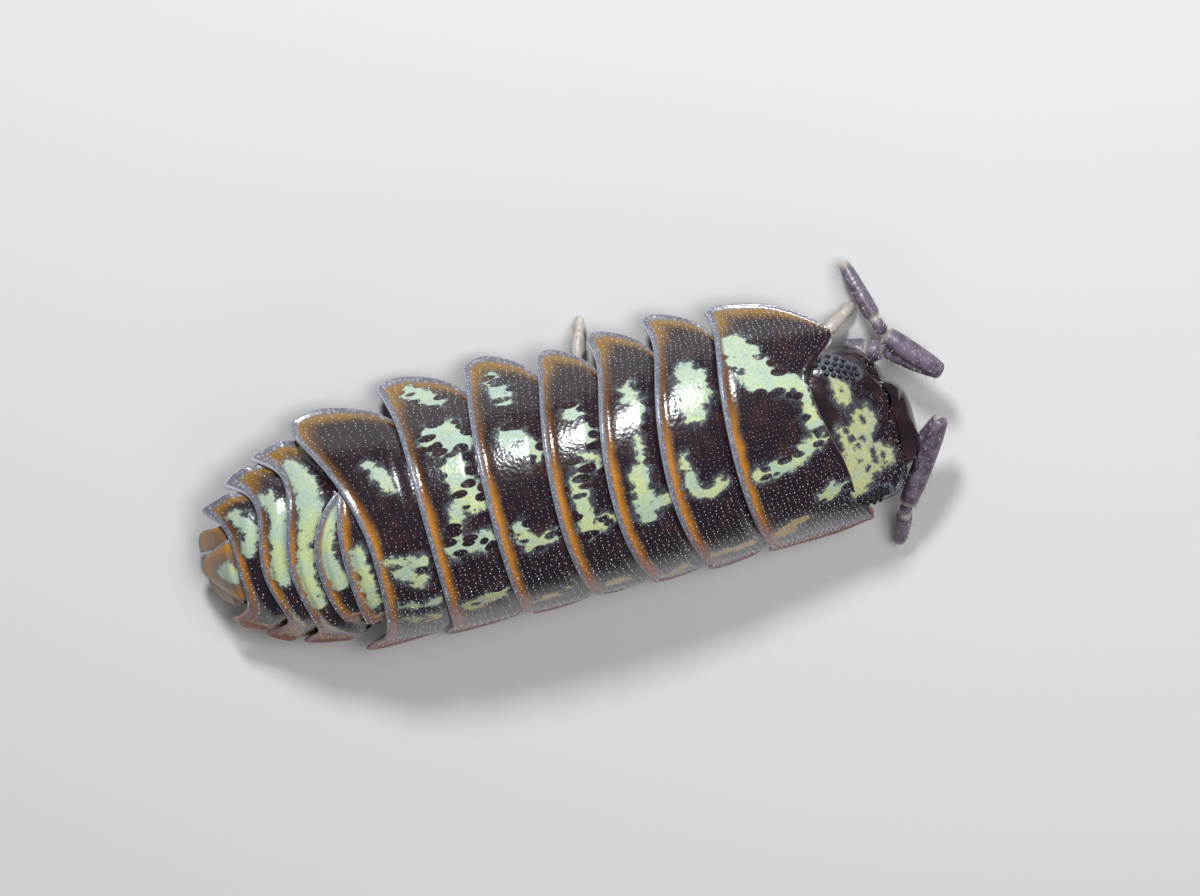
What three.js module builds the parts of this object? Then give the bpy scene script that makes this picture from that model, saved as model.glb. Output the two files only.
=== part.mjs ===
// Pill woodlouse, life size, standing on its feet. Millimetres, +X to the head, +Y to the animal's
// left, +Z up, floor at z = 0.
//
// The back is one arched reference surface: a line along the middle of the back, and an arch
// across it. Every plate of the shell is a patch of that surface, laid in layers so that the rear
// edge of each plate lies over the front of the plate behind it.
import * as THREE from 'three';

const RAD = Math.PI / 180;

// Segments from the tail forwards: length along the back, and how far the nose end tips down.
const SEGMENTS = [
  ['telson', 0.70, -52],
  ['pleonite_5', 0.36, -33],
  ['pleonite_4', 0.38, -29],
  ['pleonite_3', 0.37, -25],
  ['pleonite_2', 0.37, -21],
  ['pleonite_1', 0.38, -17],
  ['pereonite_7', 0.73, -9],
  ['pereonite_6', 0.80, -4],
  ['pereonite_5', 0.78, -1],
  ['pereonite_4', 0.68, 2],
  ['pereonite_3', 0.70, 5],
  ['pereonite_2', 0.85, 9],
  ['pereonite_1', 1.28, 15],
  ['head', 1.10, 26],
];
const BACK_TOP = 1.88; // height of the highest point of the back
const CENTRE = [-0.40, 0.12]; // slides the whole animal so that its box is centred on the origin
const TURN_FROM = 2.3; // the head end turns to the right from here forwards
const TURN_RATE = 0.07;

// Arch across the back at full size: half-arc length, steepest slope, flare at the edge.
const ARCH_LENGTH = 2.29;
const ARCH_SLOPE = 72 * RAD;
const ARCH_FLARE = 10 * RAD;
const ARCH_TURN = 0.83;

// Width of the arch along the back, as [distance from the tail, share of full width].
const WIDE = [
  [-0.6, 0.24], [0, 0.34], [0.7, 0.50], [1.06, 0.64], [1.44, 0.77], [1.81, 0.85], [2.18, 0.90],
  [2.56, 0.94], [3.3, 0.98], [4.1, 1.0], [6.26, 1.0], [7.12, 0.98], [8.4, 0.88], [9.0, 0.80],
];
const EDGE_HEIGHT = 0.46; // height of the side edge above the floor

// Plates: rear offset, share of the arch they cover, roundness of the side lobe at the rear and
// the front, and the numbers that bend the rear border forwards (+) or backwards (-) at the sides.
const PLATES = {
  pereonite_1: { rear: 0, reach: 1.10, round: [0.05, 0.40], bend: [0.56, -0.20] },
  pereonite_2: { rear: 0, reach: 1.11, round: [0.09, 0.27], bend: [0.67, -0.30] },
  pereonite_3: { rear: 0, reach: 1.08, round: [0.10, 0.29], bend: [0.57, -0.32] },
  pereonite_4: { rear: 0, reach: 1.04, round: [0.10, 0.27], bend: [0.33, -0.14] },
  pereonite_5: { rear: 0, reach: 1.11, round: [0.08, 0.25], bend: [0.04, -0.01] },
  pereonite_6: { rear: 0, reach: 1.13, round: [0.07, 0.25], bend: [-0.18, -0.09] },
  pereonite_7: { rear: 0, reach: 1.09, round: [0.06, 0.24], bend: [-1.22, 0.36] },
  pleonite_1: { rear: -0.03, reach: 0.46, round: [0, 0], bend: [0.50, 0] },
  pleonite_2: { rear: -0.05, reach: 0.46, round: [0, 0], bend: [1.86, -0.20] },
  pleonite_3: { rear: -0.01, reach: 1.04, round: [0.05, 0.02], bend: [1.45, -1.80] },
  pleonite_4: { rear: 0, reach: 0.99, round: [0.05, 0.02], bend: [1.10, -1.63] },
  pleonite_5: { rear: 0, reach: 0.86, round: [0.09, 0.02], bend: [0.09, -0.99] },
};
// The tail curves a little to the left, so these rear borders bend less on the right.
const RIGHT_BEND = {
  pereonite_7: [-0.55, -0.10],
  pleonite_1: [-0.20, 0.30],
  pleonite_2: [0.20, 0.30],
  pleonite_3: [0.75, -1.10],
};
// Front border of the first plate, as [signed share of the arch, place along the back].
const FIRST_FRONT = [
  [-1.1, 8.86], [-0.75, 8.84], [-0.62, 8.75], [-0.50, 8.62], [-0.37, 8.52], [-0.28, 8.48],
  [-0.12, 8.43], [0.02, 8.356], [0.18, 8.297], [0.28, 8.287], [0.37, 8.30], [0.47, 8.36],
  [0.54, 8.51], [0.63, 8.73], [0.72, 8.90], [0.80, 8.93], [1.1, 8.95],
];
const REAR_POWER = { pereonite: 6, pleonite: 3 };
const EDGE_THICK = 0.06; // thickness of a plate at its free rear edge
const PLATE_THICK = 0.12; // thickness of a plate in its middle
const LAYER_GAP = 0.035; // clearance between two plates that overlap
const TUCK = 0.13; // how far each plate runs on under the plate in front of it

const TRUNK_FLOOR = 0.50; // height of the underside of the body
const TRUNK_HALF = 0.88; // half width of the underside
const LEG_RADIUS = 0.15;
const FOOT_RADIUS = 0.09;
const HIP_Y = 0.64;

// Small helpers.
const lerp = (a, b, t) => a + (b - a) * t;
const clamp = (x, a, b) => Math.min(b, Math.max(a, x));
const smooth = (a, b, x) => {
  const t = clamp((x - a) / (b - a), 0, 1);
  return t * t * (3 - 2 * t);
};
function table(rows, x) {
  if (x <= rows[0][0]) return rows[0][1];
  for (let i = 1; i < rows.length; i += 1) {
    if (x <= rows[i][0]) {
      return lerp(rows[i - 1][1], rows[i][1], (x - rows[i - 1][0]) / (rows[i][0] - rows[i - 1][0]));
    }
  }
  return rows[rows.length - 1][1];
}

// Where each segment starts, measured from the tail along the back.
const START = {};
const PITCH = [];
let total = 0;
for (const [name, length, pitch] of SEGMENTS) {
  START[name] = total;
  PITCH.push([total + length / 2, pitch * RAD]);
  total += length;
}
const LENGTH = total;

// Line along the middle of the back, found by adding up short steps of its slope.
const STEP = 0.02;
const LINE = [];
{
  let x = 0;
  let z = 0;
  for (let s = -1.2; s <= LENGTH + 0.6; s += STEP) {
    LINE.push([s, x, z]);
    const p = table(PITCH, s + STEP / 2);
    x += STEP * Math.cos(p);
    z -= STEP * Math.sin(p);
  }
  const top = Math.max(...LINE.map((row) => row[2]));
  const middle = LINE[Math.round((1.2 + LENGTH / 2) / STEP)][1];
  for (const row of LINE) {
    row[1] -= middle;
    row[2] += BACK_TOP - top;
  }
}
function back(s) {
  const k = clamp((s - LINE[0][0]) / STEP, 0, LINE.length - 1.001);
  const i = Math.floor(k);
  const t = k - i;
  const p = table(PITCH, s);
  const lean = p < 0 ? 0.5 * p : p;
  return {
    x: lerp(LINE[i][1], LINE[i + 1][1], t),
    z: lerp(LINE[i][2], LINE[i + 1][2], t),
    nx: Math.sin(lean),
    nz: Math.cos(lean),
  };
}

// Arch across the back, found by adding up its slope; u is the share of the half arch.
const ARCH = [];
{
  let y = 0;
  let h = 0;
  for (let i = 0; i <= 150; i += 1) {
    const u = i / 100;
    const flare = ARCH_FLARE * smooth(ARCH_TURN + 0.02, 1, u);
    const slope = ARCH_SLOPE * clamp(u / ARCH_TURN, 0, 1) - flare;
    ARCH.push([y, h, slope]);
    y += 0.01 * ARCH_LENGTH * Math.cos(slope);
    h += 0.01 * ARCH_LENGTH * Math.sin(slope);
  }
}
function arch(u) {
  const k = clamp(u * 100, 0, 149);
  const i = Math.floor(k);
  const t = k - i;
  return [0, 1, 2].map((n) => lerp(ARCH[i][n], ARCH[i + 1][n], t));
}

// The head end turns a little to the right.
const turned = (x, y, z) => [x, y - TURN_RATE * Math.max(0, x - TURN_FROM) ** 2, z];

// Point of the back: s along it, signed share w of the arch across it, height off the surface,
// and the place m along the back whose width the arch takes.
function shell(s, w, off, m = s) {
  const c = back(s);
  const [y, h, slope] = arch(Math.abs(w));
  const across = Math.sign(w) * (table(WIDE, m) * y + off * Math.sin(slope));
  const high = Math.max(0.14, (c.z - EDGE_HEIGHT) / arch(1)[1]);
  const down = high * h - off * Math.cos(slope);
  return turned(c.x - down * c.nx, across, c.z - down * c.nz);
}

// Mesh from rings or rows of points. The faces are wound so that they face outwards.
function solid(name, slot, positions, faces) {
  const geometry = new THREE.BufferGeometry();
  geometry.setAttribute('position', new THREE.Float32BufferAttribute(positions.flat(), 3));
  let volume = 0;
  for (const [a, b, c] of faces) {
    const p = positions[a];
    const q = positions[b];
    const r = positions[c];
    volume += p[0] * (q[1] * r[2] - q[2] * r[1]) - p[1] * (q[0] * r[2] - q[2] * r[0]);
    volume += p[2] * (q[0] * r[1] - q[1] * r[0]);
  }
  const outward = volume < 0 ? faces.map(([a, b, c]) => [a, c, b]) : faces;
  geometry.setIndex(outward.flat());
  geometry.computeVertexNormals();
  const mesh = new THREE.Mesh(geometry, MATERIALS[slot]);
  mesh.name = name;
  return mesh;
}

// Curved plate with a rim: f(i, j, side) gives the outer (side 0) and inner (side 1) points.
function plate(name, slot, across, along, f) {
  const positions = [];
  const faces = [];
  const at = (i, j, side) => (side * (across + 1) + i) * (along + 1) + j;
  for (let side = 0; side < 2; side += 1) {
    for (let i = 0; i <= across; i += 1) {
      for (let j = 0; j <= along; j += 1) positions.push(f(i / across, j / along, side));
    }
  }
  const quad = (a, b, c, d) => faces.push([a, b, c], [a, c, d]);
  for (let i = 0; i < across; i += 1) {
    for (let j = 0; j < along; j += 1) {
      quad(at(i, j, 0), at(i + 1, j, 0), at(i + 1, j + 1, 0), at(i, j + 1, 0));
      quad(at(i, j, 1), at(i, j + 1, 1), at(i + 1, j + 1, 1), at(i + 1, j, 1));
    }
  }
  for (let i = 0; i < across; i += 1) {
    quad(at(i, 0, 0), at(i, 0, 1), at(i + 1, 0, 1), at(i + 1, 0, 0));
    quad(at(i, along, 0), at(i + 1, along, 0), at(i + 1, along, 1), at(i, along, 1));
  }
  for (let j = 0; j < along; j += 1) {
    quad(at(0, j, 0), at(0, j + 1, 0), at(0, j + 1, 1), at(0, j, 1));
    quad(at(across, j, 0), at(across, j, 1), at(across, j + 1, 1), at(across, j + 1, 0));
  }
  return solid(name, slot, positions, faces);
}

// Solid made of rings: every ring is a list of the same number of points, ends closed flat.
function rings(name, slot, list) {
  const n = list[0].length;
  const positions = list.flat();
  const faces = [];
  for (let k = 0; k + 1 < list.length; k += 1) {
    for (let i = 0; i < n; i += 1) {
      const a = k * n + i;
      const b = k * n + ((i + 1) % n);
      faces.push([a, b, b + n], [a, b + n, a + n]);
    }
  }
  for (const [base, flip] of [[0, true], [(list.length - 1) * n, false]]) {
    const centre = positions.length;
    const sum = [0, 0, 0];
    for (let i = 0; i < n; i += 1) for (let d = 0; d < 3; d += 1) sum[d] += positions[base + i][d] / n;
    positions.push(sum);
    for (let i = 0; i < n; i += 1) {
      const a = base + i;
      const b = base + ((i + 1) % n);
      faces.push(flip ? [b, a, centre] : [a, b, centre]);
    }
  }
  return solid(name, slot, positions, faces);
}

// Round limb along a list of [x, y, z, radius], with optional ring normals at its two ends.
function limb(name, slot, path, sides, firstNormal, lastNormal) {
  const points = path.map((p) => new THREE.Vector3(p[0], p[1], p[2]));
  const list = [];
  let across = new THREE.Vector3(0, 0, 1);
  for (let k = 0; k < path.length; k += 1) {
    const before = points[Math.max(k - 1, 0)];
    const after = points[Math.min(k + 1, path.length - 1)];
    let normal = after.clone().sub(before).normalize();
    if (k === 0 && firstNormal) normal = new THREE.Vector3(...firstNormal);
    if (k === path.length - 1 && lastNormal) normal = new THREE.Vector3(...lastNormal);
    if (k === 0) across = Math.abs(normal.z) > 0.8 ? new THREE.Vector3(1, 0, 0) : across;
    across = across.clone().sub(normal.clone().multiplyScalar(across.dot(normal))).normalize();
    const other = normal.clone().cross(across);
    const ring = [];
    for (let i = 0; i < sides; i += 1) {
      const angle = (i / sides) * 2 * Math.PI;
      const p = points[k].clone();
      p.addScaledVector(across, path[k][3] * Math.cos(angle));
      p.addScaledVector(other, path[k][3] * Math.sin(angle));
      ring.push([p.x, p.y, p.z]);
    }
    list.push(ring);
  }
  return rings(name, slot, list);
}

const colour = (hex, roughness) => new THREE.MeshStandardMaterial({
  color: hex,
  roughness,
  metalness: 0,
});
const MATERIALS = {
  shell: colour(0x3a2f2c, 0.35),
  eye: colour(0x0c0a0a, 0.15),
  limb: colour(0x8d8292, 0.5),
  underside: colour(0xb9ad97, 0.6),
};

const group = new THREE.Group();
group.name = 'pill_woodlouse';
group.position.set(CENTRE[0], CENTRE[1], 0);

// Rear border of a plate and the border that its front runs under.
const ORDER = SEGMENTS.map((row) => row[0]);
const ahead = (name) => ORDER[ORDER.indexOf(name) + 1];
function rearLine(name, w) {
  const u = Math.abs(w);
  const [a, b] = (w < 0 && RIGHT_BEND[name]) || PLATES[name].bend;
  return START[name] + a * u ** 2 + b * u ** REAR_POWER[name.split('_')[0]];
}
function frontLine(name, w) {
  if (name === 'pereonite_1') return table(FIRST_FRONT, w);
  const line = rearLine(ahead(name), w);
  const covered = ['pleonite_1', 'pleonite_2', 'pleonite_3'].includes(name);
  return covered ? Math.min(line, rearLine('pereonite_7', w)) : line;
}

// Shell plates.
for (const name of Object.keys(PLATES)) {
  const spec = PLATES[name];
  const free = name === 'pereonite_1';
  const low = free ? 0 : PLATES[ahead(name)].rear - EDGE_THICK - LAYER_GAP;
  const short = spec.reach < 0.5;
  const cut = name.startsWith('pereonite') && !free;
  group.add(plate(name, 'shell', short ? 12 : 20, short ? 4 : 5, (i, j, side) => {
    const t = lerp(-1, 1, i);
    const taper = cut ? clamp((j - 0.12) / 0.80, 0, 1.1) ** 2 : j ** 3;
    const reach = spec.reach - spec.round[0] * (1 - j) ** 4 - spec.round[1] * taper;
    const w = reach * t;
    const rear = rearLine(name, w);
    const front = Math.max(frontLine(name, w), rear + 0.02);
    const s = lerp(rear, front + (free ? 0 : TUCK), j);
    const m = lerp(START[name], START[ahead(name)] + (free ? 0 : TUCK), j);
    const rise = free ? 1 : smooth(-0.02, 0.16, front - s);
    const outer = lerp(low, spec.rear, rise);
    const back0 = smooth(TUCK, TUCK + 0.12, s - rear);
    const lip = free ? smooth(0, 0.3, front - s) : rise;
    const thick = lerp(EDGE_THICK, PLATE_THICK, back0 * lip);
    return shell(s, w, outer - side * thick, m);
  }));
}

// Telson and the two flat uropods beside it.
const TELSON_TIP = 0.20;
const TELSON_BASE = 0.50;
group.add(plate('telson', 'shell', 8, 5, (i, j, side) => {
  const t = lerp(-1, 1, i);
  const half = lerp(TELSON_TIP, TELSON_BASE, j ** 0.8);
  const w = t * half;
  const s = lerp(0.03 + 0.10 * t * t, START.pleonite_5 + 0.12 + 0.40 * w * w, j);
  const low = -EDGE_THICK - LAYER_GAP - 0.01;
  const outer = lerp(low, 0, smooth(0.0, 0.2, START.pleonite_5 + 0.40 * w * w - s));
  return shell(s, w, outer - side * 0.11);
}));
for (const side of [1, -1]) {
  group.add(plate(side > 0 ? 'uropod_left' : 'uropod_right', 'shell', 4, 3, (i, j, layer) => {
    const s = lerp(-0.02 + 0.16 * i * i, 0.44, j);
    const w = side * lerp(0.20 + 0.18 * j, 0.60 + 0.15 * j, i);
    return shell(s, w, -0.14 - layer * 0.11, 0.43);
  }));
}

// Trunk inside the shell: flat underneath, arched on top.
{
  const list = [];
  const stations = 16;
  for (let k = 0; k <= stations; k += 1) {
    const s = lerp(0.62, 8.12, k / stations);
    const size = table(WIDE, s);
    const ring = [];
    const end = Math.sin(Math.PI * clamp(k / stations, 0.04, 0.96)) ** 0.25;
    for (let i = 0; i <= 8; i += 1) {
      const w = lerp(-0.66, 0.66, i / 8) * lerp(0.8, 1, end);
      const p = shell(s, w, -0.30 - 0.15 * (1 - end));
      ring.push([p[0], p[1] * 0.9, Math.max(p[2], TRUNK_FLOOR + 0.06)]);
    }
    const c = back(s);
    const half = TRUNK_HALF * size * lerp(0.7, 1, end);
    const down = c.z - TRUNK_FLOOR;
    const x = c.x - Math.min(down, 0.95) * c.nx;
    for (const y of [half, half * 0.4, -half * 0.4, -half]) ring.push([x, y, TRUNK_FLOOR]);
    list.push(ring);
  }
  group.add(rings('trunk', 'underside', list));
}

// Head: a rounded block in its own tilted frame, with eyes, frontal shield and mouthparts.
const HEAD_TILT = 27 * RAD;
const HEAD = { s: START.head + 0.55, sink: 0.47, half: [0.50, 0.92, 0.40], behind: 0.66 };
const headAt = back(HEAD.s);
const headCentre = [
  headAt.x - HEAD.sink * Math.sin(HEAD_TILT),
  0,
  headAt.z - HEAD.sink * Math.cos(HEAD_TILT),
];
function headPoint(x, y, z) {
  return turned(
    headCentre[0] + x * Math.cos(HEAD_TILT) + z * Math.sin(HEAD_TILT),
    y,
    headCentre[2] - x * Math.sin(HEAD_TILT) + z * Math.cos(HEAD_TILT),
  );
}
// Surface of the head: turn is measured round Y from the front, rise from the middle to a side.
function headSkin(turn, rise, off) {
  const power = (v, e) => Math.sign(v) * Math.abs(v) ** e;
  const cr = power(Math.cos(rise), 0.75);
  const x = power(Math.cos(turn), 0.75) * cr;
  const z = power(Math.sin(turn), 0.75) * cr;
  const y = power(Math.sin(rise), 0.75);
  const long = x < 0 ? HEAD.behind : HEAD.half[0];
  const n = new THREE.Vector3(x / long, y / HEAD.half[1], z / HEAD.half[2]).normalize();
  return headPoint(
    long * x + off * n.x,
    HEAD.half[1] * y + off * n.y,
    HEAD.half[2] * z + off * n.z,
  );
}
{
  const list = [];
  for (let k = 1; k < 14; k += 1) {
    const rise = lerp(-90, 90, k / 14) * RAD;
    const ring = [];
    for (let i = 0; i < 18; i += 1) ring.push(headSkin((i / 18) * 2 * Math.PI, rise, 0));
    list.push(ring);
  }
  group.add(rings('head', 'shell', list));
}
for (const side of [1, -1]) {
  group.add(plate(side > 0 ? 'eye_left' : 'eye_right', 'eye', 5, 5, (i, j, layer) => {
    const a = lerp(-1, 1, i);
    const b = lerp(-1, 1, j);
    const edge = Math.max(Math.abs(a), Math.abs(b)) / Math.hypot(a, b || 1e-9);
    const r = a === 0 && b === 0 ? 1 : edge;
    const dome = 0.10 * Math.sqrt(Math.max(0, 1 - Math.min(1, Math.hypot(a * r, b * r)) ** 2));
    const turn = (104 + 20 * a * r) * RAD;
    const rise = side * (54 + 12 * b * r) * RAD;
    return headSkin(turn, rise, layer ? 0.025 : 0.055 + dome);
  }));
}
group.add(plate('scutellum', 'shell', 8, 4, (i, j, layer) => {
  const rise = lerp(-1, 1, i) * lerp(26, 12, j) * RAD;
  const turn = lerp(58, 2, j) * RAD;
  return headSkin(turn, rise, layer ? 0.025 : 0.13);
}));
group.add(limb('mouthparts', 'underside', [
  [headCentre[0] + 0.12, -0.16, headCentre[2] - 0.47, 0.18],
  [headCentre[0] + 0.10, -0.16, headCentre[2] - 0.52, 0.24],
  [headCentre[0] + 0.06, -0.16, headCentre[2] - 0.60, 0.14],
], 10, [0, 0, -1], [0, 0, -1]));

// Antennae: article ends as [x, y, z] for the left and right side.
const FEELERS = {
  left: [[4.24, 0.56, 0.34], [4.46, 0.56, 0.44], [5.02, 0.20, 0.74], [4.44, 0.84, 0.60],
    [4.17, 1.70, 0.20]],
  right: [[4.30, -0.84, 0.34], [4.46, -0.78, 0.46], [4.87, -0.32, 0.84], [4.17, -1.46, 0.45],
    [3.97, -2.02, 0.16]],
};
for (const [side, p] of Object.entries(FEELERS)) {
  const part = (name, a, b, ra, rb, trim = [0.06, 0.06]) => {
    const from = new THREE.Vector3(...a);
    const to = new THREE.Vector3(...b);
    const way = to.clone().sub(from);
    const gap = 0.02 / way.length();
    const at = (t, r) => {
      const q = from.clone().addScaledVector(way, lerp(gap, 1 - gap, t));
      return [q.x, q.y, q.z, r];
    };
    const ends = [trim[0], 1 - trim[1]];
    const path = [at(ends[0], ra * 0.6), at(ends[0] + 0.14, ra), at(ends[1] - 0.14, rb),
      at(ends[1], rb * 0.6)];
    group.add(limb(`${name}_${side}`, 'limb', path, 10));
  };
  part('antenna_base', p[0], p[1], 0.15, 0.17);
  part('antenna_article_4', p[1], p[2], 0.14, 0.14, [0.06, 0.22]);
  part('antenna_article_5', p[2], p[3], 0.14, 0.16, [0.22, 0.06]);
  part('flagellum', p[3], p[4], 0.14, 0.10);
}

// Legs: pair number, hip and foot places as [hip x, foot x, foot y] for left and right.
const HIPS = [2.97, 1.93, 1.16, 0.47, -0.26, -1.05, -1.81];
const FEET = {
  left: [[4.20, 1.10], [2.25, 1.26], [1.34, 1.28], [0.94, 1.80], [-0.48, 1.28], [-1.35, 1.26],
    [-2.25, 1.18]],
  right: [[3.35, -1.16], [2.00, -1.27], [1.50, -1.26], [0.35, -1.28], [-0.20, -1.28],
    [-1.42, -1.26], [-2.05, -1.20]],
};
for (const side of ['left', 'right']) {
  const sign = side === 'left' ? 1 : -1;
  HIPS.forEach((hip, k) => {
    const [footX, footY] = FEET[side][k];
    const at = (t, z, r) => [lerp(hip, footX, t), lerp(sign * HIP_Y, footY, t), z, r];
    group.add(limb(`leg_${side}_${k + 1}`, 'limb', [
      at(0, TRUNK_FLOOR - 0.025, LEG_RADIUS * 0.8),
      at(0.10, 0.36, LEG_RADIUS),
      at(0.42, 0.30, LEG_RADIUS),
      at(0.78, 0.24, LEG_RADIUS * 0.95),
      at(0.95, 0.12, LEG_RADIUS * 0.8),
      at(1, 0, FOOT_RADIUS),
    ], 10, [0, 0, -1], [0, 0, -1]));
  });
}

// Gill plates under the tail.
for (const side of [1, -1]) {
  const x0 = back(2.45).x - 0.1;
  group.add(plate(side > 0 ? 'pleopods_left' : 'pleopods_right', 'underside', 6, 3, (i, j, layer) => {
    const x = x0 - 1.15 * i;
    const half = lerp(0.62, 0.34, i);
    const y = side * lerp(0.03, half, j);
    return [x, y, layer ? 0.30 + 0.05 * j : TRUNK_FLOOR - 0.03];
  }));
}

export default group;
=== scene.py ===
import math

import bpy
import numpy as np
from mathutils import Matrix, Vector


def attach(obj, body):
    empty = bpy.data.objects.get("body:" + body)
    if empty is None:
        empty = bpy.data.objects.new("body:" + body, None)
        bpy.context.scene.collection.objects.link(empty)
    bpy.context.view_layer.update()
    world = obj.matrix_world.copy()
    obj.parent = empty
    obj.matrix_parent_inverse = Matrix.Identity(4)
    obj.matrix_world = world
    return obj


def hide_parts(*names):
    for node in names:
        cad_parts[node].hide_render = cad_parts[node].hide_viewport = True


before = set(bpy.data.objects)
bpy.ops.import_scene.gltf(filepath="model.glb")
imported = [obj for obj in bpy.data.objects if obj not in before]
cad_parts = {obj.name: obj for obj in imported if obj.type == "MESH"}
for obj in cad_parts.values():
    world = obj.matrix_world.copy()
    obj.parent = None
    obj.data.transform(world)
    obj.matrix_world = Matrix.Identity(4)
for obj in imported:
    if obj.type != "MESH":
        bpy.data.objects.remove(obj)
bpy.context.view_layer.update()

RAD = math.pi / 180
MM = 0.001

# Sizes in millimetres. X runs to the head, Y to the animal's left, Z up, floor at z = 0.
# Segments from the tail forwards: length along the back, and how far the nose end tips down.
SEGMENTS = [
    ("telson", 0.70, -52), ("pleonite_5", 0.36, -33), ("pleonite_4", 0.38, -29),
    ("pleonite_3", 0.37, -25), ("pleonite_2", 0.37, -21), ("pleonite_1", 0.38, -17),
    ("pereonite_7", 0.73, -9), ("pereonite_6", 0.80, -4), ("pereonite_5", 0.78, -1),
    ("pereonite_4", 0.68, 2), ("pereonite_3", 0.70, 5), ("pereonite_2", 0.85, 9),
    ("pereonite_1", 1.28, 15), ("head", 1.10, 26),
]
BACK_TOP = 1.88
CENTRE = np.array([-0.40, 0.12, 0.0])
TURN_FROM = 2.3
TURN_RATE = 0.07
ARCH_LENGTH = 2.29
ARCH_SLOPE = 72 * RAD
ARCH_FLARE = 10 * RAD
ARCH_TURN = 0.83
WIDE = [
    (-0.6, 0.24), (0, 0.34), (0.7, 0.50), (1.06, 0.64), (1.44, 0.77), (1.81, 0.85),
    (2.18, 0.90), (2.56, 0.94), (3.3, 0.98), (4.1, 1.0), (6.26, 1.0), (7.12, 0.98),
    (8.4, 0.88), (9.0, 0.80),
]
EDGE_HEIGHT = 0.46
ARCH_HEIGHT = 1.399

# Plates: rear offset, reach down the side, roundness of the side lobe at the rear and the front,
# and how the rear border bends forwards (+) or backwards (-) at the sides.
PLATES = {
    "pereonite_1": (0, 1.10, (0.07, 0.42), (0.56, -0.20)),
    "pereonite_2": (0, 1.12, (0.11, 0.27), (0.67, -0.30)),
    "pereonite_3": (0, 1.09, (0.12, 0.29), (0.57, -0.32)),
    "pereonite_4": (0, 1.05, (0.12, 0.27), (0.33, -0.14)),
    "pereonite_5": (0, 1.12, (0.10, 0.25), (0.04, -0.01)),
    "pereonite_6": (0, 1.14, (0.09, 0.25), (-0.18, -0.09)),
    "pereonite_7": (0, 1.10, (0.07, 0.24), (-1.22, 0.36)),
    "pleonite_1": (-0.03, 0.50, (0, 0), (0.50, 0)),
    "pleonite_2": (-0.045, 0.50, (0, 0), (1.86, -0.20)),
    "pleonite_3": (-0.01, 1.05, (0.06, 0.02), (1.45, -1.80)),
    "pleonite_4": (0, 1.00, (0.06, 0.02), (1.10, -1.63)),
    "pleonite_5": (0, 0.88, (0.08, 0.02), (0.09, -0.99)),
}
STEP_DOWN = 0.075
# The tail curves a little to the left, so these borders bend less on the right.
RIGHT_BEND = {
    "pereonite_7": (-0.55, -0.10), "pleonite_1": (-0.20, 0.30), "pleonite_2": (0.20, 0.30),
    "pleonite_3": (0.75, -1.10),
}
# Front border of the first plate: signed share of the arch, and place along the back.
FIRST_FRONT = [
    (-1.1, 8.86), (-0.75, 8.84), (-0.62, 8.75), (-0.50, 8.63), (-0.37, 8.54), (-0.28, 8.493),
    (-0.12, 8.434), (0.02, 8.356), (0.18, 8.297), (0.28, 8.287), (0.373, 8.30), (0.474, 8.359),
    (0.544, 8.506), (0.628, 8.724), (0.721, 8.90), (0.80, 8.93), (1.1, 8.95),
]
TUCK = 0.13

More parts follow.
